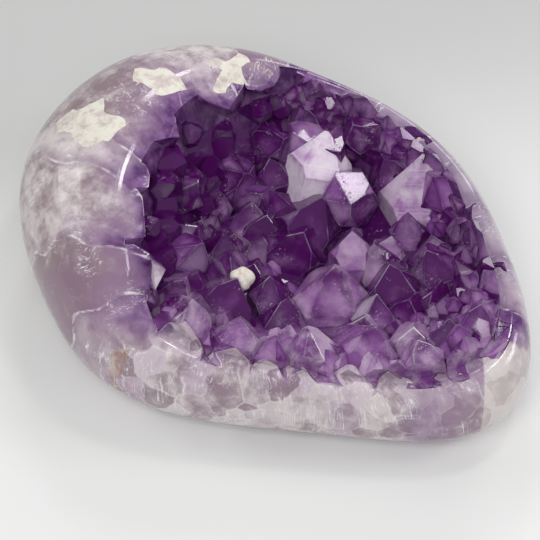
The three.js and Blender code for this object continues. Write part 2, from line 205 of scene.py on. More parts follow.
def between(limits, share):
    """The value that lies a share of the way from one limit to the other."""
    return limits[0] + (limits[1] - limits[0]) * share


def is_broad(place):
    """Whether a place round the stone lies on the broad side of the polished edge."""
    return BROAD_FROM < place < BROAD_TO


def unit(rows):
    """Directions brought to a length of 1."""
    return rows / np.linalg.norm(rows, axis=-1, keepdims=True)


def blend(place):
    """The stations' values at places round the stone from 0 to 1, by the uniform cubic B-spline of them."""
    whole = np.floor(place * len(STATIONS)).astype(int)
    t = place * len(STATIONS) - whole
    early, late = 3 * t**3 - 6 * t**2 + 4, -3 * t**3 + 3 * t**2 + 3 * t + 1
    weights = np.stack([(1 - t) ** 3, early, late, t**3], -1) / 6
    nearby = STATIONS[(whole[..., None] + np.arange(-1, 3)) % len(STATIONS)]
    return (weights[..., None] * nearby).sum(-2)


OUTLINE = blend(np.arange(720) / 720)[:, :2]
MIDDLE = (OUTLINE.min(0) + OUTLINE.max(0)) / 2


class Station:
    """The stone's measurements at places round it, all as arrays of one shape."""

    def __init__(self, place):
        values = blend(np.asarray(place, float))
        self.outline = values[..., 0:2] - MIDDLE
        self.lip = values[..., 2:4] - MIDDLE
        self.waist = values[..., 4]
        self.crest = values[..., 5]
        self.width = np.linalg.norm(self.outline - self.lip, axis=-1)
        self.lip_height = self.crest - LIP_FALL * self.width


def by_width(width, at_narrow, at_wide):
    """A value that goes from one to another as the polished edge goes from narrow to wide."""
    return at_narrow + (at_wide - at_narrow) * (np.clip(width, NARROW, WIDE) - NARROW) / (WIDE - NARROW)


def floor_at(x, y):
    """The height of the hollow's floor: a plane that rises to the right and towards the front."""
    return FLOOR_HEIGHT + FLOOR_SLOPE * x - FLOOR_SLOPE * y


def hollow_point(place, share, raised=0, spread=1, widened=0):
    """Points of the hollow's floor and wall: from the floor's height in the middle, share 0, up to the
    lip's, share 1, with share cubed. raised lifts them, less and less towards the lip, and spread draws them
    out in plan. widened moves the wall past the lip where the polished edge is narrow, with share to the
    power of six."""
    s = Station(place)
    share = np.asarray(share, float)
    past = by_width(s.width, widened, 0) * share**6
    plan = s.lip * (share * spread)[..., None] + unit(s.lip) * past[..., None]
    floor = floor_at(plan[..., 0], plan[..., 1])
    height = floor + raised * (1 - share**SHEET_FADE) + (s.lip_height - floor) * share**3
    return np.concatenate([plan, height[..., None]], -1)


def shade(y, depth, cloud):
    """How deep and how cloudy crystal is: paler and cloudier by a straight line towards the front."""
    front = np.clip((FRONT_FROM - y) / FRONT_OVER, 0, 1)
    return dict(depth=depth * (1 - FRONT_PALER * front), cloud=cloud + FRONT_CLOUDIER * front)


def mesh_of(name, points, faces, flat, **values):
    """A mesh in metres from points in millimetres, with its flat faces marked and named values, each with
    the kind of place it belongs to: point, face or face corner."""
    mesh = bpy.data.meshes.new(name)
    mesh.from_pydata(np.asarray(points) * MM, [], faces)
    sharp = mesh.attributes.new("sharp_face", "BOOLEAN", "FACE")
    sharp.data.foreach_set("value", np.asarray(flat, bool))
    for label, (domain, numbers) in values.items():
        numbers = np.asarray(numbers, np.float32)
        single = numbers.ndim == 1
        made = mesh.attributes.new(label, "FLOAT" if single else "FLOAT_VECTOR", domain)
        made.data.foreach_set("value" if single else "vector", numbers.ravel())
    return mesh


def ring_mesh(name, bottom, rings, top, flat, natural, **values):
    """The closed mesh between rings of points, one over the other, with a point below and a point above.
    flat says for each band, the fans under and over them too, whether its faces are flat. natural marks
    faces that weren't polished, and values are numbers for the rings' points."""
    levels, count = rings.shape[:2]
    points = np.concatenate([[bottom], rings.reshape(-1, 3), [top]])
    k = np.arange(count)
    after = (k + 1) % count
    under = np.stack([np.zeros_like(k), 1 + after, 1 + k], -1)
    last = 1 + (levels - 1) * count
    over = np.stack([np.full_like(k, len(points) - 1), last + k, last + after], -1)
    level = 1 + count * np.arange(levels - 1)[:, None]
    bands = np.stack([level + k, level + after, level + count + after, level + count + k], -1).reshape(-1, 4)
    faces = under.tolist() + bands.tolist() + over.tolist()
    carried = {}
    for label, numbers in values.items():
        rows = numbers.reshape(levels * count, -1)
        carried[label] = ("POINT", np.concatenate([rows[:1], rows, rows[-1:]]).squeeze())
    y = points[[face[0] for face in faces], 1]
    tones = shade(y, STONE_DEPTH, STONE_CLOUD)
    for label, number in dict(natural=float(natural), facet=0.5, **tones).items():
        carried[label] = ("FACE", number + 0 * y)
    return mesh_of(name, points, faces, np.repeat(flat, count), **carried)


def sections(places, wall):
    """The sections of the wall's points that the polish cuts through. For places on it: a number of the
    nearest point's own, the way to the line between it and the next, and the way behind the front of its
    tip, which is the way out along the point less half the way aside. Sine waves push the lines about."""
    plan, height = places[..., :2], places[..., 2:]
    plan = plan + 2 * np.sin(plan[..., ::-1] / 6 + height / 5 + 2 * np.sin(plan / 9))
    across = np.array([p["across"] for p in wall])
    out = -unit(np.array([p["axis"][:2] for p in wall]))
    off = plan[..., None, :] - np.array([p["tip"][:2] for p in wall])
    along = (off * out).sum(-1)
    aside = np.abs(off[..., 0] * out[:, 1] - off[..., 1] * out[:, 0])
    away = np.where(along > SECTION_START, aside / across, SECTION_NONE)
    near = np.argsort(away, -1)
    first, second = (np.take_along_axis(away, near[..., k:k + 1], -1)[..., 0] for k in (0, 1))
    nearest = near[..., 0]
    behind = np.take_along_axis(along - aside / 2, near[..., :1], -1)[..., 0]
    return dict(section=nearest * 0.618 % 1, seam=(second - first) * across[nearest] / 2, behind=behind)


def polished_form(wall):
    """The stone as ground and polished, before its hollow. From the base a quarter turn of sine and cosine
    swells it to the waist, a second one closes it to the crest, a parabola falls to the lip, and a straight
    slope goes on over the hollow. grain wraps the way along the lip round a circle and has the way from the
    lip, shortened, for its height, in metres."""
    s = Station(np.arange(ROUND) / ROUND)
    rings, distance, way = [], [], s.width
    steps = np.linalg.norm(s.lip - np.roll(s.lip, -1, 0), axis=1)
    around = 2 * np.pi * np.cumsum(steps) / steps.sum()

    def add(plan, height, out):
        rings.append(np.concatenate([plan, np.broadcast_to(height, s.waist.shape)[:, None]], -1))
        distance.append(np.broadcast_to(out, s.waist.shape))

    def mixed(share):
        return s.outline + (s.lip - s.outline) * share

    for turn in np.linspace(0, np.pi / 2, 19):
        height = s.waist * (1 - math.cos(turn))
        add(s.outline * between((BASE_SHARE, 1), math.sin(turn)), height, way + s.waist - height)
    for turn in np.linspace(0, np.pi / 2, 31)[1:]:
        share = CREST_SHARE * (1 - math.cos(turn))
        add(mixed(share), s.waist + (s.crest - s.waist) * math.sin(turn), way * (1 - share))
    for share in np.linspace(0, 1, 9)[1:]:
        inward = between((CREST_SHARE, 1), share)
        add(mixed(inward), s.crest + (s.lip_height - s.crest) * share**2, way * (1 - inward))
    ground = by_width(s.width, GROUND_NARROW, GROUND_WIDE)
    for share in np.linspace(0, 1, 7)[1:]:
        add(s.lip - unit(s.lip) * (ground * share)[:, None], s.lip_height - GROUND_SLOPE * ground * share,
            -ground * share)
    add(s.lip - unit(s.lip) * (ground + ROOF_DRAWN_IN)[:, None], ROOF_HEIGHT, -ground - ROOF_DRAWN_IN)
    rings, distance = np.array(rings), np.array(distance)
    flat = np.zeros(len(rings) + 1, bool)
    flat[[0, -2, -1]] = True
    circle = np.stack([np.cos(around), np.sin(around)], -1) * steps.sum() / 2 / np.pi
    circle = np.broadcast_to(circle, distance.shape + (2,))
    grain = np.concatenate([circle, distance[..., None] * GRAIN_HEIGHT], -1) * MM
    return ring_mesh("form", (0, 0, 0), rings, (0, 0, ROOF_HEIGHT), flat, False,
                     grain=grain, **sections(rings, wall))


def hollow_space(raised, spread):
    """The space of the hollow up to the roof, raised off the floor and drawn in or out from the wall."""
    place = np.arange(HOLLOW_ROUND) / HOLLOW_ROUND
    shares = np.arange(1, HOLLOW_RISE + 1) / HOLLOW_RISE
    shares, place = np.meshgrid(shares, place, indexing="ij")
    rings = hollow_point(place, shares, raised, spread, WIDENED)
    height = ROOF_HEIGHT + raised
    roof = rings[-1].copy()
    roof[:, 2] = height
    rings = np.concatenate([rings, roof[None]])
    flat = np.ones(len(rings) + 1, bool)
    return ring_mesh("hollow", (0, 0, floor_at(0, 0) + raised), rings, (0, 0, height), flat, True)


def meeting_points(normals, distances):
    """The corners of the convex solid inside planes: every three planes meet in a point, and those that lie
    inside all the others are kept."""
    triples = np.array(list(itertools.combinations(range(len(normals)), 3)))
    rows = normals[triples]
    sound = np.abs(np.linalg.det(rows)) > 1e-3
    corners = np.linalg.solve(rows[sound], distances[triples[sound]][..., None])[..., 0]
    inside = (corners @ normals.T <= distances + CLOSE / 10).all(1)
    corners = corners[inside]
    same = np.linalg.norm(corners[:, None] - corners[None], axis=-1) < CLOSE * 10
    return corners[~np.tril(same, -1).any(1)]


def quartz_point(tip, across, axis, turn, root, seed, depth, cloud, grown=0, worn=0):
    """One quartz point as the solid inside its planes: a cut root, six prism faces and six pyramid faces
    over them, three large and three small, each set off by its own uneven share of the width. worn adds a
    narrow plane across each edge. Each wide face is a fan about its middle. Faces get the point's depth of
    purple and cloudiness, a number of their own, whether they are prism faces and whether they are worn
    edges. Face corners get their way down from the tip, and core, which is 1 in the middle of a wide face
    and 0 on its edges."""
    roll = dice(-seed)
    normals, distances, prism = [(0, 0, -1)], [root], [0]
    for k in range(6):
        side = np.array([math.cos(k * math.pi / 3), math.sin(k * math.pi / 3), 0])
        slope = side * math.cos(FACE_RISE) + np.array([0, 0, math.sin(FACE_RISE)])
        half = across / 2 * (1 + between(PRISM_UNEVEN, next(roll)))
        lag = across * between(MINOR_UNEVEN if k % 2 else MAJOR_UNEVEN, next(roll))
        normals += [side, slope]
        distances += [half + grown, lag + grown]
        prism += [1, 0]
    normals, distances = np.array(normals, float), np.array(distances, float)
    corners = meeting_points(normals, distances)
    if worn:
        on = np.abs(corners @ normals.T - distances) < CLOSE
        pairs = itertools.combinations(range(1, 13), 2)
        pairs = [(a, b) for a, b in pairs if (on[:, a] & on[:, b]).sum() > 1]
        bisector = unit(np.array([normals[a] + normals[b] for a, b in pairs]))
        half_angle = np.arccos(np.clip([bisector[k] @ normals[a] for k, (a, b) in enumerate(pairs)], -1, 1))
        reach = (corners @ bisector.T).max(0) - worn * np.tan(half_angle) / 2
        normals, distances = np.concatenate([normals, bisector]), np.concatenate([distances, reach])
        corners = meeting_points(normals, distances)
    faces, labels, core, middles = [], [], [], []
    for k, (normal, distance) in enumerate(zip(normals, distances)):
        rim = np.flatnonzero(np.abs(corners @ normal - distance) < CLOSE)
        if len(rim) < 3:
            continue
        middle = corners[rim].mean(0)
        right = unit(np.cross(normal, (0.31, 0.82, 0.48)))
        forward = np.cross(normal, right)
        spokes = corners[rim] - middle
        rim = rim[np.argsort(np.arctan2(spokes @ forward, spokes @ right))].tolist()
        if k > 12:
            made, shares = [rim], [0] * len(rim)
        else:
            made = [[len(corners) + len(middles), a, b] for a, b in zip(rim, rim[1:] + rim[:1])]
            shares = [1, 0, 0] * len(rim)
            middles.append(middle)
        faces += made
        core += shares
        labels += [(k < 13 and prism[k], k > 12, next(roll) if k < 13 else 0.5)] * len(made)
    corners = np.concatenate([corners, middles])
    labels = np.array(labels, float)
    way_down = np.concatenate([-corners[face, 2] for face in faces])
    up = np.array([0, 0, 1])
    tilt = np.cross(up, axis)
    cross = np.array([[0, -tilt[2], tilt[1]], [tilt[2], 0, -tilt[0]], [-tilt[1], tilt[0], 0]])
    stand = np.eye(3) + cross + cross @ cross / (1 + axis[2])
    c, s = math.cos(turn), math.sin(turn)
    spin = np.array([[c, -s, 0], [s, c, 0], [0, 0, 1]])
    standing = corners @ (stand @ spin).T + tip
    every = np.ones(len(faces))
    by_face = dict(prism=labels[:, 0], worn=labels[:, 1], depth=every * depth, cloud=every * cloud,
                   own=every * (seed % 97) / 97, natural=every, facet=labels[:, 2])
    by_face = {label: ("FACE", numbers) for label, numbers in by_face.items()}
    by_corner = dict(axial=("CORNER", way_down), core=("CORNER", core))
    return mesh_of("point", standing, faces, every, **by_face, **by_corner)


def leaning(towards, lean):
    """The unit direction that leans from upright towards a direction in plan."""
    return np.array([math.sin(lean) * math.cos(towards), math.sin(lean) * math.sin(towards), math.cos(lean)])


def large_points():
    """The points of the table, each long enough to be rooted under the hollow's floor."""
    points = []
    for k, (x, y, z, across, towards, lean, turn, depth, cloud) in enumerate(LARGE):
        axis = leaning(math.radians(towards), math.radians(lean))
        root = (z - floor_at(x, y)) / axis[2] + LARGE_ROOT
        points.append(dict(tip=np.array([x, y, z], float), across=across, axis=axis, turn=math.radians(turn),
                           root=root, seed=1 + k, depth=depth, cloud=cloud))
    return points


def wall_stand(place, near, roll):
    """The foot of a point on the hollow's wall and its axis: square to the wall but for a wander."""
    foot = hollow_point(place, near)
    along = hollow_point(place + STEP_ROUND, near) - foot
    down = hollow_point(place, near - STEP_DOWN) - foot
    square = unit(np.cross(along, down))
    wander = leaning(2 * math.pi * next(roll), math.radians(WANDER_LEAN))
    return foot, unit(square + wander * WANDER_WEIGHT)


def is_hidden(tip, large, share):
    """Whether a tip lies nearer a large point's axis than a share of its half width."""
    for p in large:
        off = tip - p["tip"]
        if np.linalg.norm(off - p["axis"] * (off @ p["axis"])) < share * p["across"] / 2:
            return True
    return False


def seeded_point(roll, tip, axis, across, root, seed, depth, cloud):
    """A point whose turn, depth and cloudiness come from its dice, the last two within limits."""
    turn = math.pi * next(roll)
    tones = shade(tip[1], between(depth, next(roll)), between(cloud, next(roll)))
    return dict(tip=tip, axis=axis, across=across, turn=turn, root=root, seed=seed, **tones)


def small_points(large):
    """Points in rings over the hollow's floor and wall, square to it but for a wander, at even steps moved
    about by their dice. Those that a large point hides are left out."""
    points = []
    for level, share in enumerate(SMALL_RINGS):
        walk = hollow_point(np.arange(RING_STEPS) / RING_STEPS, np.full(RING_STEPS, share))
        way = np.linalg.norm(walk - np.roll(walk, -1, 0), axis=1).sum()
        count = round(way / SMALL_SPACING)
        for k in range(count):
            seed = 100 * (1 + level) + k
            roll = dice(seed)
            place = ((k + SMALL_SHIFT * next(roll)) / count + share) % 1
            if share > SMALL_RECESS and is_broad(place):
                continue
            near = share + between((-SMALL_SWAY, SMALL_SWAY), next(roll))
            foot, axis = wall_stand(place, near, roll)
            across = between(SMALL_ACROSS, next(roll))
            tall = between(SMALL_TALL, next(roll))
            tip = foot + axis * tall
            if not is_hidden(tip, large, SMALL_HIDDEN):
                root = tall + SMALL_ROOT
                points.append(seeded_point(roll, tip, axis, across, root, seed, SMALL_DEPTH, SMALL_CLOUD))
    return points


def druse_points():
    """Fine points spread over the hollow's wall and floor, most of them towards the wall. Those in the
    recess under the broad side are larger and painted deep purple and clear, as painted shade.
    """
    points = []
    for k in range(DRUSE_COUNT):
        seed = 2000 + k
        roll = dice(seed)
        place = next(roll)
        near = 0.95 * next(roll) ** 0.5
        recess = is_broad(place) and near > RECESS_FROM
        foot, axis = wall_stand(place, near, roll)
        tall = between(DRUSE_TALL, next(roll))
        tip = foot + axis * (tall + DRUSE_LIFT)
        across = between(RECESS_ACROSS if recess else DRUSE_ACROSS, next(roll))
        # Painted shade: the recess's points get the deepest purple and the least cloud.
        if recess:
            tones = dict(depth=RECESS_SHADE_DEPTH, cloud=RECESS_SHADE_CLOUD)
        else:
            tones = shade(tip[1], between(DRUSE_DEPTH, next(roll)), between(DRUSE_CLOUD, next(roll)))
        points.append(dict(tip=tip, across=across, axis=axis, turn=math.pi * next(roll),
                           root=tall + FINE_ROOT, seed=seed, **tones))
    return points


def border_points():
    """Points of middling size on the upper wall where the polished edge is narrow."""
    points = []
    for k in range(BORDER_COUNT):
        seed = 4000 + k
        roll = dice(seed)
        place = (k + next(roll)) / BORDER_COUNT
        if is_broad(place):
            continue
        foot, axis = wall_stand(place, between(BORDER_SHARE, next(roll)), roll)
        tall = between(BORDER_TALL, next(roll))
        tip = foot + axis * (tall + BORDER_LIFT)
        across = between(BORDER_ACROSS, next(roll))
        root = tall + FINE_ROOT
        points.append(seeded_point(roll, tip, axis, across, root, seed, BORDER_DEPTH, BORDER_CLOUD))
    return points


def wall_points():
    """The points of the stone's wall: the broad side's from their table, and the others at even steps along
    the lip, tilted inward, and steeper where the polished edge is narrow."""
    points = []
    for k, (x, y, z, across, towards, lean, turn) in enumerate(TEETH):
        axis = leaning(math.radians(towards), math.radians(lean))
        points.append(dict(tip=np.array([x, y, z], float), across=across, axis=axis, turn=math.radians(turn),
                           root=WALL_ROOT, seed=900 + k, depth=STONE_DEPTH, cloud=STONE_CLOUD))
    for k in range(WALL_COUNT):
        seed = 1000 + k
        roll = dice(seed)
        place = (k + WALL_SHIFT * next(roll)) / WALL_COUNT
        if is_broad(place):
            continue
        s = Station(place)
        rise = math.radians(by_width(s.width, WALL_RISE_NARROW, WALL_RISE_WIDE))
        inward = math.atan2(-s.lip[1], -s.lip[0]) + between((-WALL_SWAY, WALL_SWAY), next(roll))
        axis = leaning(inward, math.pi / 2 - rise)
        foot = np.array([s.lip[0], s.lip[1], s.lip_height - between(WALL_SUNK, next(roll))])
        tip = foot + axis * between(WALL_REACH, next(roll))
        across = between(WALL_ACROSS, next(roll))
        points.append(seeded_point(roll, tip, axis, across, WALL_ROOT, seed, WALL_DEPTH, WALL_CLOUD))
    return points


def fringe_points():
    """Fine points along the lip between the wall's large ones, flatter where the polished edge is wide."""
    points = []
    for k in range(FRINGE_COUNT):
        seed = 3000 + k
        roll = dice(seed)
        place = (k + next(roll)) / FRINGE_COUNT
        if is_broad(place):
            continue
        s = Station(place)
        rise = by_width(s.width, WALL_RISE_NARROW, WALL_RISE_WIDE) + between(FRINGE_TILT, next(roll))
        inward = math.atan2(-s.lip[1], -s.lip[0]) + between(FRINGE_SWAY, next(roll))
        axis = leaning(inward, math.pi / 2 - math.radians(rise))
        past = unit(s.lip) * between(FRINGE_PAST, next(roll))
        foot = np.array([*(s.lip + past), s.lip_height - between(FRINGE_SUNK, next(roll))])
        tip = foot + axis * between(FRINGE_REACH, next(roll))
        across = between(FRINGE_ACROSS, next(roll))
        points.append(seeded_point(roll, tip, axis, across, FRINGE_ROOT, seed, FRINGE_DEPTH, FRINGE_CLOUD))
    return points


def shaped(start, *steps):
    """The mesh left after steps of (operation, meshes): each joins, cuts or keeps what is common."""
    scene = bpy.context.scene
    mesh = start
    for operation, others in steps:
        base = bpy.data.objects.new("base", mesh)
        scene.collection.objects.link(base)
        group = bpy.data.collections.new("others")
        scene.collection.children.link(group)
        for other in others:
            group.objects.link(bpy.data.objects.new("other", other))
        modifier = base.modifiers.new("step", "BOOLEAN")
        modifier.solver = "MANIFOLD"
        modifier.operation = operation
        modifier.operand_type = "COLLECTION"
        modifier.collection = group
        mesh = bpy.data.meshes.new_from_object(base.evaluated_get(bpy.context.evaluated_depsgraph_get()))
        for thing in list(group.objects) + [base]:
            bpy.data.objects.remove(thing)
        bpy.data.collections.remove(group)
    return mesh


def placed(name, mesh, materials, node):
    """A finished piece in the scene, in place of its CAD node."""
    mesh.materials.clear()
    for material in materials:
        mesh.materials.append(material)
    piece = bpy.data.objects.new(name, mesh)
    bpy.context.scene.collection.objects.link(piece)
    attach(piece, "root")
    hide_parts(node)
    return piece


def calcite_mesh():
    """The calcite on a grid of directions: from its middle out to the furthest of its knobs, blended by a
    sum of powers, with low sine waves over it."""
    around = np.linspace(0, 2 * np.pi, CALCITE_ROUND, endpoint=False)
    around, rise = np.meshgrid(around, np.linspace(-np.pi / 2, np.pi / 2, CALCITE_RISE))
    way = np.stack([np.cos(rise) * np.cos(around), np.cos(rise) * np.sin(around), np.sin(rise)], -1)
    middle, radius = CALCITE_KNOBS[:, :3], CALCITE_KNOBS[:, 3]
    near = way @ middle.T
    inside = np.maximum(near**2 - (middle**2).sum(1) + radius**2, 0)
    out = np.where(inside > 0, np.maximum(near + np.sqrt(inside), 0.1), 0.1)
    reach = (out**CALCITE_BLEND).sum(-1) ** (1 / CALCITE_BLEND)
    waves = np.sin(5 * way[..., 0] + 2 * np.sin(4 * way[..., 2])) * np.sin(6 * way[..., 1] + 3 * way[..., 2])
    surface = way * (reach * (0.97 + 0.025 * waves))[..., None] + CALCITE_AT
    rings = surface[1:-1]
    return ring_mesh("calcite", surface[0, 0], rings, surface[-1, 0], np.zeros(len(rings) + 1, bool), True)


def point_meshes(points, worn=0, grown=0):
    """One mesh for each point, with worn edges of a width, or grown outward by a gap."""
    return [quartz_point(**p, worn=worn, grown=grown) for p in points]


wall = wall_points()
form = polished_form(wall)
wall += fringe_points()
large = large_points()
points = large + small_points(large)
fine = druse_points() + border_points()

hollow_mesh = shaped(hollow_space(0, 1), ("DIFFERENCE", point_meshes(wall, WALL_WORN)))
stone_mesh = shaped(form, ("DIFFERENCE", [hollow_mesh]))
over_mesh = shaped(
    hollow_space(SHEET_THICKNESS, SHEET_FLARE),
    ("DIFFERENCE", point_meshes(points, CRUST_WORN) + point_meshes(fine)),
)
crust_mesh = shaped(
    hollow_space(GAP, GAP_SPREAD), ("INTERSECT", [form]),
    ("DIFFERENCE", point_meshes(wall, grown=GAP)), ("DIFFERENCE", [over_mesh]),
)


class Level:
    """A number that changes over a surface. Sums, differences and products of it add Math nodes."""

    def __init__(self, finish, socket):
        self.finish, self.socket = finish, socket

    def maths(self, operation, *values):
        made = self.finish.node("Math", {"operation": operation}, dict(enumerate(values)))
        return Level(self.finish, made.outputs[0])

    def __add__(self, other):
        return self.maths("ADD", self, other)

    def __sub__(self, other):
        return self.maths("SUBTRACT", self, other)

    def __rsub__(self, other):
        return self.maths("SUBTRACT", other, self)

    def __mul__(self, other):
        return self.maths("MULTIPLY", self, other)

    __radd__, __rmul__ = __add__, __mul__

    def from_to(self, low, high):
        """0 up to low, 1 from high, and a smooth step between them."""
        settings = {"interpolation_type": "SMOOTHSTEP"}
        made = self.finish.node("MapRange", settings, {"Value": self, "From Min": low, "From Max": high})
        return Level(self.finish, made.outputs["Result"])


class Finish:
    """One material: its shader, with constants set on it, and the nodes that feed it."""

    def __init__(self, name, **constants):
        self.material = bpy.data.materials.new(name)
        self.material.use_nodes = True
        self.nodes, self.links = self.material.node_tree.nodes, self.material.node_tree.links
        self.shader = self.nodes["Principled BSDF"]
        self.feed(self.shader, {name.replace("_", " "): value for name, value in constants.items()})
        self.place = self.node("TexCoord", {}, {}).outputs["Object"]

    def feed(self, node, inputs):
        for name, value in inputs.items():
            if isinstance(value, Level):
                value = value.socket
            if isinstance(value, bpy.types.NodeSocket):
                self.links.new(value, node.inputs[name])
            else:
                node.inputs[name].default_value = value

    def node(self, kind, settings, inputs):
        """A node of a type, its settings first and then its sockets."""
        made = self.nodes.new("ShaderNode" + kind)
        for name, value in settings.items():
            setattr(made, name, value)
        self.feed(made, inputs)
        return made

    def stored(self, label):
        made = self.node("Attribute", {"attribute_name": label}, {})
        return Level(self, made.outputs["Fac"])

    def noise(self, size, detail=3, roughness=0.55, distortion=0, place=None):
        """Soft noise whose lumps are about size millimetres across."""
        inputs = {"Vector": place or self.place, "Scale": 1 / (size * MM), "Detail": detail,
                  "Roughness": roughness, "Distortion": distortion}
        return Level(self, self.node("TexNoise", {}, inputs).outputs["Fac"])

    def cells(self, size, place=None):
        """Cells of about size millimetres: the way to their walls, two numbers of each one's own, and its
        middle."""
        inputs = {"Vector": place or self.place, "Scale": 1 / (size * MM)}
        walls = self.node("TexVoronoi", {"feature": "DISTANCE_TO_EDGE"}, inputs)
        cell = self.node("TexVoronoi", {"feature": "F1"}, inputs)
        split = self.node("SeparateColor", {}, {"Color": cell.outputs["Color"]})
        own = [Level(self, split.outputs[channel]) for channel in ("Red", "Green")]
        return Level(self, walls.outputs["Distance"]), *own, cell.outputs["Position"]

    def warped(self, size, reach, place=None):
        """Coordinates pushed about by noise, so that patterns on them run unevenly."""
        place = place or self.place
        noise = self.node("TexNoise", {}, {"Vector": place, "Scale": 1 / (size * MM), "Detail": 2})
        aside = self.vector("SUBTRACT", {0: noise.outputs["Color"], 1: (0.5, 0.5, 0.5)})
        pushed = self.vector("SCALE", {0: aside, "Scale": 2 * reach * MM})
        return self.vector("ADD", {0: place, 1: pushed})

    def vector(self, operation, inputs):
        return self.node("VectorMath", {"operation": operation}, inputs).outputs[0]

    def along(self, axis):
        """The way along an axis from the origin, in millimetres."""
        split = self.node("SeparateXYZ", {}, {"Vector": self.place})
        return Level(self, split.outputs[axis]) * (1 / MM)

    def within(self, place, middle, reach):
        """1 inside an oval about a point in plan, in millimetres, and 0 outside it."""
        off = self.vector("SUBTRACT", {0: place, 1: (middle[0] * MM, middle[1] * MM, 0)})
        share = self.vector("MULTIPLY", {0: off, 1: (1 / (reach[0] * MM), 1 / (reach[1] * MM), 0)})
        far = self.node("VectorMath", {"operation": "LENGTH"}, {0: share}).outputs["Value"]
        return 1 - Level(self, far).from_to(0.9, 1.1)

    def mixed(self, first, second, share, how="MIX"):
        made = self.nodes.new("ShaderNodeMix")
        made.data_type, made.blend_type = "RGBA", how
        factor = next(s for s in made.inputs if s.name == "Factor" and s.type == "VALUE")
        ends = [s for s in made.inputs if s.type == "RGBA"]
        for socket, value in zip([factor] + ends, [share, first, second]):
            if isinstance(value, Level):
                value = value.socket
            if isinstance(value, bpy.types.NodeSocket):
                self.links.new(value, socket)
            else:
                socket.default_value = value
        return next(s for s in made.outputs if s.type == "RGBA")

    def bumped(self, height, strength, reach):
        inputs = {"Height": height, "Strength": strength, "Distance": reach * MM}
        return self.node("Bump", {}, inputs).outputs[0]


def colour(red, green, blue):
    """The linear colour of screen values from 0 to 255."""
    channels = [c / 255 for c in (red, green, blue)]
    return [c / 12.92 if c <= 0.04045 else ((c + 0.055) / 1.055) ** 2.4 for c in channels] + [1]


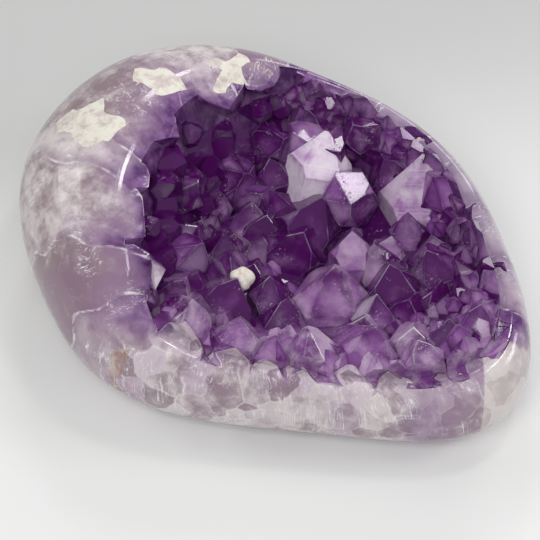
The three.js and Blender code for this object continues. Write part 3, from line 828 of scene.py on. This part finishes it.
def polished_quartz():
    """Pale cloudy quartz with the ground sections of points, each purple behind its tip and paler further
    out, fine lines between them, white cracks, cream patches on the broad side and bare purple faces over
    the hollow."""
    f = Finish("polished quartz", Roughness=0.12, IOR=1.54)
    seam, behind, own, natural = (f.stored(label) for label in ("seam", "behind", "section", "natural"))
    grain = f.node("Attribute", {"attribute_name": "grain"}, {}).outputs["Vector"]
    bent, uneven = f.warped(15, 5, grain), f.warped(20, 8)
    x, y = f.along("X"), f.along("Y")
    front, edge = f.within(uneven, (-14, -80), (66, 26)), f.within(uneven, (10, -84), (95, 34))
    low, inside = f.within(uneven, (-68, -46), (24, 20)), f.within(uneven, (0, -78), (100, 44))
    right = x.from_to(15, 50) * y.from_to(-50, -20)
    mottle, streak = f.noise(7, 7, 0.64, 0.3), f.noise(5, 6, 0.64, 0.4, bent)

    # The body, milky in places, and the clearer quartz of the front.
    cloudy = (mottle * 0.8 + streak * 0.3 + (own - 0.5) * 0.4).from_to(0.36, 0.74)
    body = f.mixed(colour(144, 124, 132), colour(216, 206, 207), cloudy)
    body = f.mixed(body, colour(138, 110, 132), low * 0.55)
    outer = (behind + (mottle - 0.5) * 24).from_to(4, 34)
    body = f.mixed(body, colour(150, 116, 158), (1 - outer) * 0.7)
    wall, share, tint, _ = f.cells(11, f.warped(13, 5))
    glassy = (mottle * 0.9 + streak * 0.2 + (share - 0.5) * 0.45).from_to(0.34, 0.72)
    pale = f.mixed(colour(150, 128, 140), colour(216, 206, 207), glassy)
    pale = f.mixed(pale, colour(196, 168, 196), tint.from_to(0.6, 0.9) * 0.5)
    joint = (1 - wall.from_to(0.015, 0.05)) * f.noise(9, 3).from_to(0.42, 0.58)
    pale = f.mixed(pale, colour(245, 240, 240), joint * 0.45)
    body = f.mixed(body, pale, front * 0.45 + edge * 0.45)
    body = f.mixed(body, colour(184, 174, 186), right * 0.6)

    # The purple behind each tip, and the dark and the light lines between sections.
    milk = (mottle * 0.8 + streak * 0.4).from_to(0.45, 0.8)
    violet = f.mixed(colour(78, 28, 98), colour(140, 98, 156), milk)
    purple = 1 - (behind + (f.noise(7, 3) - 0.5) * 13).from_to(1, 15)
    tone = f.mixed(body, violet, purple * (1 - edge * 0.8) * (1 - right * 0.6))
    tone = f.mixed(tone, colour(118, 92, 120), (1 - seam.from_to(0.3, 4)) * own * 0.5 * (1 - front))
    line = 1 - (seam + (f.noise(5, 3) - 0.5) * 1.2).from_to(0.1, 0.7)
    line = line * f.noise(11, 3).from_to(0.35, 0.55)
    tone = f.mixed(tone, colour(236, 229, 232), line * (1 - front) * 0.75)

    # White cracks, cream patches, the pale block at the right end and a small brown stain.
    scratch = f.noise(1.3, 6, 0.75, 1.4, bent).from_to(0.53, 0.64)
    cracks = scratch * (f.noise(14, 3) + front * 0.12).from_to(0.5, 0.62)
    tone = f.mixed(tone, colour(246, 242, 244), cracks * 0.75)
    piece = f.cells(9, f.warped(14, 3))[3]
    cream = f.within(piece, (-18, 57), (11, 9)) + f.within(piece, (-47, 45), (10, 9))
    cream = cream + f.within(piece, (-70, 25), (16, 8))
    cream = cream.maths("MINIMUM", cream, 1)
    chalk = f.mixed(colour(230, 226, 213), colour(200, 186, 184), f.noise(6, 6, 0.7).from_to(0.42, 0.62))
    tone = f.mixed(tone, chalk, cream * (1 - natural))
    block = x.from_to(79.7, 80.3) * (1 - (y + (f.noise(6, 2) - 0.5) * 6).from_to(-59, -57))
    milky = f.mixed(colour(200, 188, 188), colour(222, 214, 212), glassy)
    tone = f.mixed(tone, milky, block * (1 - natural) * 0.85)
    stain = f.within(f.warped(4, 3), (-57, -64), (4, 2.5))
    tone = f.mixed(tone, colour(160, 115, 80), stain * 0.4)

    # The faces that weren't polished, paler inside the front.
    lit = f.noise(7, 4) + f.stored("core") * 0.3 + (f.stored("facet") - 0.5) * 0.3
    bare = f.mixed(colour(66, 16, 82), colour(150, 108, 160), lit.from_to(0.35, 0.9))
    light = f.mixed(colour(140, 104, 146), colour(222, 208, 218), lit.from_to(0.35, 0.8))
    tone = f.mixed(tone, f.mixed(bare, light, inside), natural)
    rough = 0.1 + 0.4 * cream + 0.15 * cracks
    relief = f.bumped(f.noise(5, 2) + cracks * 0.3, 0.06, 0.5)
    f.feed(f.shader, {"Base Color": tone, "Roughness": rough, "Normal": relief})
    return f.material


def amethyst(name, clear):
    """See-through purple, deep towards the tips and cloudy towards the roots and inside, with pale worn
    edges that are partly a painted highlight, faces made paler, darker or greyer by their own number as a
    painted reflection, white cracks in places and fine lines across the prism faces. clear is the share of
    light that goes in."""
    f = Finish(name, IOR=1.54, Transmission_Weight=clear)
    depth, cloud, axial, worn = (f.stored(label) for label in ("depth", "cloud", "axial", "worn"))
    core, facet = f.stored("core"), f.stored("facet") - 0.5
    veil = f.noise(8, 5, 0.6, 0.3)

    # Purple, palest and cloudiest at the roots. Each face's own number also makes it paler or darker and
    # greys
    # some faces of the clearer points: painted reflection and refraction, standing in for the light each
    # face takes.
    pale = cloud * 0.9 + axial * 0.01 + (veil - 0.5) * 1.5 + core * 0.25 + facet * 0.5
    dark = depth * 1.15 - axial * 0.012 + (f.noise(10, 4) - 0.5) * 1.6 - core * 0.3 - facet * 0.5
    milk = (veil * 0.5 + cloud * 0.5).from_to(0.52, 0.95)
    light = f.mixed(colour(208, 168, 214), colour(252, 244, 252), milk)
    tone = f.mixed(colour(168, 104, 186), colour(92, 20, 104), dark.from_to(-0.2, 0.9))
    tone = f.mixed(tone, light, pale.from_to(0.3, 1.2))
    # The grey on some faces is a painted sheen.
    painted_sheen = facet.from_to(0.25, 0.45) * cloud.from_to(0.9, 0.3)
    tone = f.mixed(tone, colour(128, 112, 134), painted_sheen * 0.45)

    # Edges, dark on clear points and pale on cloudy or worn ones; the pale on the worn edges is partly real
    # wear and partly a painted highlight along them.
    edge = 1 - core.from_to(0, 0.3)
    tone = f.mixed(tone, colour(80, 20, 100), edge * cloud.from_to(0.6, 0.1) * 0.5)
    rim = edge * cloud.from_to(0.3, 0.8) * 0.4 + worn * 0.25
    tone = f.mixed(tone, colour(222, 208, 224), rim * veil.from_to(0.4, 0.6))

    # Cracks, and the fine lines that the growth left.
    cracks = f.noise(1.1, 5, 0.75, 0.4).from_to(0.56, 0.66)
    cracks = cracks * (f.noise(9, 3) + cloud * 0.08).from_to(0.56, 0.66)
    tone = f.mixed(tone, colour(232, 222, 234), cracks * 0.7)
    lines = f.node("CombineXYZ", {}, {"X": axial, "Y": f.stored("own") * 9}).outputs[0]
    striae = Level(f, f.node("TexNoise", {}, {"Vector": lines, "Scale": 1.6, "Detail": 3}).outputs["Fac"])
    tone = f.mixed(tone, colour(246, 240, 246), striae.from_to(0.55, 0.68) * cloud.from_to(0.6, 1) * 0.5)
    height = striae * f.stored("prism") * 0.7 + f.noise(5, 3) * 0.5 + cracks
    rough = 0.03 + 0.2 * veil.from_to(0.4, 0.7)
    f.feed(f.shader, {"Base Color": tone, "Roughness": rough, "Normal": f.bumped(height, 0.25, 0.4)})
    absorb = f.node("VolumeAbsorption", {}, {"Color": colour(204, 140, 215), "Density": 18})
    f.links.new(absorb.outputs[0], f.nodes["Material Output"].inputs["Volume"])
    return f.material


def calcite():
    """Dull white, with soft greyer blotches."""
    f = Finish("white calcite", Roughness=0.5)
    tone = f.mixed(colour(232, 226, 214), colour(206, 196, 190), f.noise(1.6, 4).from_to(0.4, 0.75))
    f.feed(f.shader, {"Base Color": tone, "Normal": f.bumped(f.noise(0.9, 4), 0.5, 0.3)})
    return f.material


placed("polished_stone_dressed", stone_mesh, [polished_quartz()], "polished_stone")
cloud = np.empty(len(crust_mesh.polygons), np.float32)
crust_mesh.attributes["cloud"].data.foreach_get("value", cloud)
crystals = [amethyst("amethyst", CLEAR_SHARE), amethyst("cloudy amethyst", CLOUDY_SHARE)]
placed("amethyst_points", crust_mesh, crystals, "amethyst_crust")
crust_mesh.polygons.foreach_set("material_index", (cloud > CLOUDY).astype(np.int32))
placed("calcite_lobes", calcite_mesh(), [calcite()], "calcite_knob")

# The floor, the lights and the camera.
floor_mesh = bpy.data.meshes.new("floor")
floor_mesh.from_pydata([(-3, -3, 0), (3, -3, 0), (3, 3, 0), (-3, 3, 0)], [], [(0, 1, 2, 3)])
floor = bpy.data.objects.new("floor", floor_mesh)
bpy.context.scene.collection.objects.link(floor)
plain = Finish("pale floor", Roughness=0.7)
# The floor's colour is darker towards the back and the left: a painted falloff of the light.
near = (plain.along("Y") - plain.along("X") * 0.25).from_to(140, -50)
plain.feed(plain.shader, {"Base Color": plain.mixed(colour(196, 197, 196), colour(237, 238, 237), near)})
floor_mesh.materials.append(plain.material)


def lamp(name, at, aim, size, power, mirrored=True):
    """A soft lamp, size metres across, that faces a point. Polished faces mirror it or not."""
    light = bpy.data.lights.new(name, "AREA")
    light.shape, light.size, light.size_y = "RECTANGLE", size[0], size[1]
    light.energy = power
    thing = bpy.data.objects.new(name, light)
    bpy.context.scene.collection.objects.link(thing)
    thing.location = at
    thing.visible_glossy = mirrored
    x, y, z = np.array(aim) - np.array(at)
    thing.rotation_euler = [math.atan2(math.hypot(x, y), -z), 0, math.atan2(x, -y) + math.pi]


lamp("front panel", (-0.15, -0.6, 0.95), (0, 0, 0), (0.7, 0.5), 5.5, mirrored=False)
lamp("left window", (-0.8, 0.2, 0.6), (0, 0, 0.03), (0.45, 0.45), 1.6)
lamp("back window", (0, 0.8, 0.72), (0, 0, 0.03), (0.24, 0.22), 1.7)
lamp("right window", (0.6, 1.0, 0.4), (0, 0, 0.03), (0.5, 0.4), 2.5)
lamp("side window", (0.8, 0.03, 0.6), (-0.04, 0, 0.06), (0.3, 0.24), 1.6)
lamp("high window", (0.27, 0.21, 0.94), (0, 0, 0.03), (0.12, 0.12), 0.8)
world = bpy.data.worlds.new("room")
world.use_nodes = True
background = world.node_tree.nodes["Background"]
background.inputs["Color"].default_value = (1, 1, 0.99, 1)
background.inputs["Strength"].default_value = 0.32
bpy.context.scene.world = world

TARGET = np.array([0, -17.3, 32]) * MM
ELEVATION, DISTANCE, LENS = math.radians(55), 0.65, 109.4
camera = bpy.data.objects.new("camera", bpy.data.cameras.new("camera"))
bpy.context.scene.collection.objects.link(camera)
camera.data.lens = LENS
camera.location = TARGET + DISTANCE * np.array([0, -math.cos(ELEVATION), math.sin(ELEVATION)])
camera.rotation_euler = (math.pi / 2 - ELEVATION, 0, 0)
bpy.context.scene.camera = camera
bpy.context.scene.view_settings.view_transform = "Standard"
